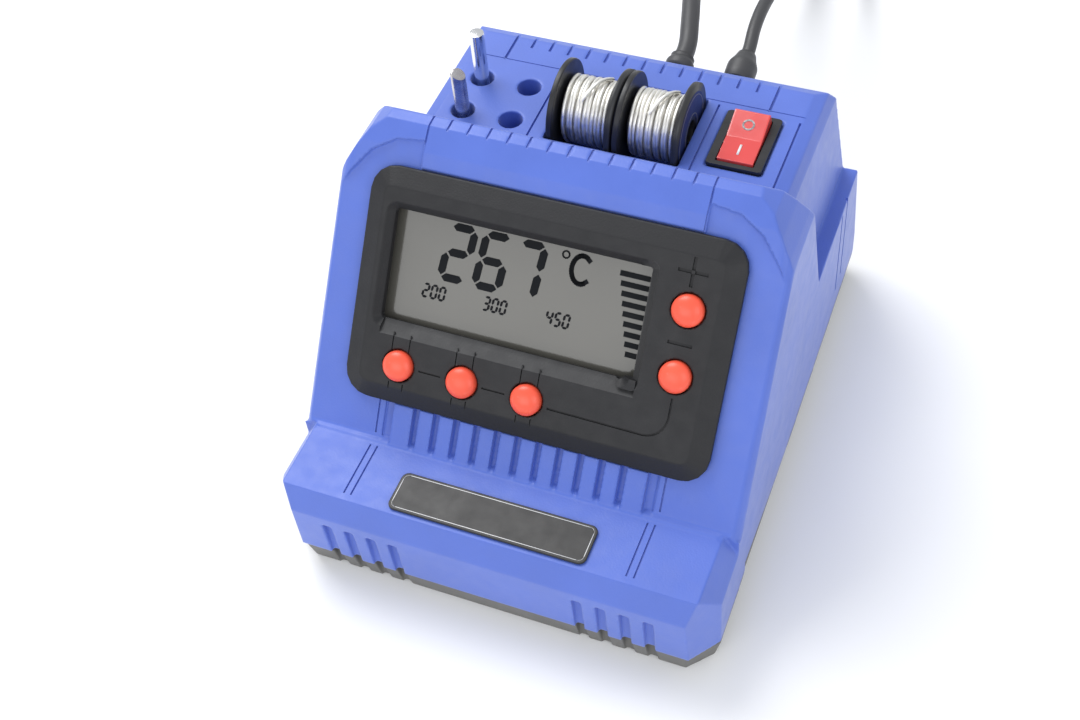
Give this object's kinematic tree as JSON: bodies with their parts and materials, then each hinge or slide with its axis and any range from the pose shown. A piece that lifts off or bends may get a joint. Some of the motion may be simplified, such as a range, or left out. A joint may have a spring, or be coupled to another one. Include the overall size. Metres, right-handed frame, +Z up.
{
  "type": "soldering station",
  "caption": "Wedge-shaped soldering station with a sloped display panel, push buttons, rocker switch, spare tips, solder spools, a mains lead and a soldering iron on its cable.",
  "frame": {"origin": "middle of the base plate on the bench, 62 mm behind the front edge", "axes": "+X to the right, +Y from the front to the rear, +Z up"},
  "size_m": [0.1317, 0.5135, 0.1013],
  "materials": {
    "base_plate": "fine texture",
    "board_screw_1": "zinc",
    "board_screw_2": "zinc",
    "board_screw_3": "zinc",
    "board_screw_4": "zinc",
    "button_minus": "satin",
    "button_plus": "satin",
    "button_preset_1": "satin",
    "button_preset_2": "satin",
    "button_preset_3": "satin",
    "control_board": "satin",
    "display_bezel": "satin",
    "housing_screw_1": "zinc",
    "housing_screw_2": "zinc",
    "housing_screw_3": "zinc",
    "housing_screw_4": "zinc",
    "iron_barrel": "satin",
    "iron_cable": "satin",
    "iron_cable_coil": "satin",
    "iron_cable_relief": "matte",
    "iron_cable_tail": "satin",
    "iron_collar_nut": "turned",
    "iron_grip": "matte",
    "iron_handle": "satin",
    "iron_strain_relief": "matte",
    "iron_tip": "plated",
    "lcd_module": "glossy",
    "mains_lead": "satin",
    "mains_lead_coil": "satin",
    "mains_lead_tail": "satin",
    "mains_plug": "satin",
    "mains_strain_relief": "matte",
    "plug_pin_1": "plated",
    "plug_pin_2": "plated",
    "rating_plate": "satin",
    "rubber_foot_1": "matte",
    "rubber_foot_2": "matte",
    "rubber_foot_3": "matte",
    "rubber_foot_4": "matte",
    "solder_spool_left": "satin",
    "solder_spool_right": "satin",
    "solder_wire_left": "bright",
    "solder_wire_right": "bright",
    "spare_tip_chisel": "plated",
    "spare_tip_round": "plated",
    "switch_housing": "satin",
    "switch_rocker": "glossy",
    "transformer_core": "matte",
    "transformer_screw_1": "zinc",
    "transformer_screw_2": "zinc",
    "transformer_winding": "tape",
    "upper_housing": "fine texture"
  },
  "bodies": {
    "station": {"base_plate": "base_plate", "board_screw_1": "board_screw_1", "board_screw_2": "board_screw_2", "board_screw_3": "board_screw_3", "board_screw_4": "board_screw_4", "control_board": "control_board", "display_bezel": "display_bezel", "housing_screw_1": "housing_screw_1", "housing_screw_2": "housing_screw_2", "housing_screw_3": "housing_screw_3", "housing_screw_4": "housing_screw_4", "iron_cable": "iron_cable", "iron_cable_coil": "iron_cable_coil", "iron_cable_tail": "iron_cable_tail", "iron_strain_relief": "iron_strain_relief", "lcd_module": "lcd_module", "mains_lead": "mains_lead", "mains_lead_coil": "mains_lead_coil", "mains_lead_tail": "mains_lead_tail", "mains_plug": "mains_plug", "mains_strain_relief": "mains_strain_relief", "plug_pin_1": "plug_pin_1", "plug_pin_2": "plug_pin_2", "rating_plate": "rating_plate", "rubber_foot_1": "rubber_foot_1", "rubber_foot_2": "rubber_foot_2", "rubber_foot_3": "rubber_foot_3", "rubber_foot_4": "rubber_foot_4", "switch_housing": "switch_housing", "transformer_core": "transformer_core", "transformer_screw_1": "transformer_screw_1", "transformer_screw_2": "transformer_screw_2", "transformer_winding": "transformer_winding", "upper_housing": "upper_housing", "iron_cable_relief": "iron_cable_relief", "iron_handle": "iron_handle", "iron_grip": "iron_grip", "iron_collar_nut": "iron_collar_nut", "iron_barrel": "iron_barrel", "iron_tip": "iron_tip"},
    "preset_button_1": {"button_preset_1": "button_preset_1"},
    "preset_button_2": {"button_preset_2": "button_preset_2"},
    "preset_button_3": {"button_preset_3": "button_preset_3"},
    "plus_button": {"button_plus": "button_plus"},
    "minus_button": {"button_minus": "button_minus"},
    "power_rocker": {"switch_rocker": "switch_rocker"},
    "left_spool": {"solder_spool_left": "solder_spool_left", "solder_wire_left": "solder_wire_left"},
    "right_spool": {"solder_spool_right": "solder_spool_right", "solder_wire_right": "solder_wire_right"},
    "chisel_tip": {"spare_tip_chisel": "spare_tip_chisel"},
    "round_tip": {"spare_tip_round": "spare_tip_round"}
  },
  "joints": [
    {"name": "preset_button_1_press", "type": "slide", "parent": "station", "child": "preset_button_1", "axis": [0, 0.7934, -0.6088], "range_m": [0, 0.001], "stiffness_N_per_m": 400, "springref_m": -0.001},
    {"name": "preset_button_2_press", "type": "slide", "parent": "station", "child": "preset_button_2", "axis": [0, 0.7934, -0.6088], "range_m": [0, 0.001], "stiffness_N_per_m": 400, "springref_m": -0.001},
    {"name": "preset_button_3_press", "type": "slide", "parent": "station", "child": "preset_button_3", "axis": [0, 0.7934, -0.6088], "range_m": [0, 0.001], "stiffness_N_per_m": 400, "springref_m": -0.001},
    {"name": "plus_button_press", "type": "slide", "parent": "station", "child": "plus_button", "axis": [0, 0.7934, -0.6088], "range_m": [0, 0.001], "stiffness_N_per_m": 400, "springref_m": -0.001},
    {"name": "minus_button_press", "type": "slide", "parent": "station", "child": "minus_button", "axis": [0, 0.7934, -0.6088], "range_m": [0, 0.001], "stiffness_N_per_m": 400, "springref_m": -0.001},
    {"name": "rocker_tilt", "type": "hinge", "parent": "station", "child": "power_rocker", "pos_m": [0.0352, 0.0475, 0.0844], "axis": [-1, 0, 0], "range_deg": [0, 20]},
    {"name": "left_spool_spin", "type": "hinge", "parent": "station", "child": "left_spool", "pos_m": [-0.0069, 0.04765, 0.0845], "axis": [1, 0, 0], "continuous": true},
    {"name": "right_spool_spin", "type": "hinge", "parent": "station", "child": "right_spool", "pos_m": [0.012, 0.04765, 0.0845], "axis": [1, 0, 0], "continuous": true},
    {"name": "chisel_tip_lift", "type": "slide", "parent": "station", "child": "chisel_tip", "axis": [0, 0, 1], "range_m": [0, 0.032]},
    {"name": "round_tip_lift", "type": "slide", "parent": "station", "child": "round_tip", "axis": [0, 0, 1], "range_m": [0, 0.032]}
  ]
}
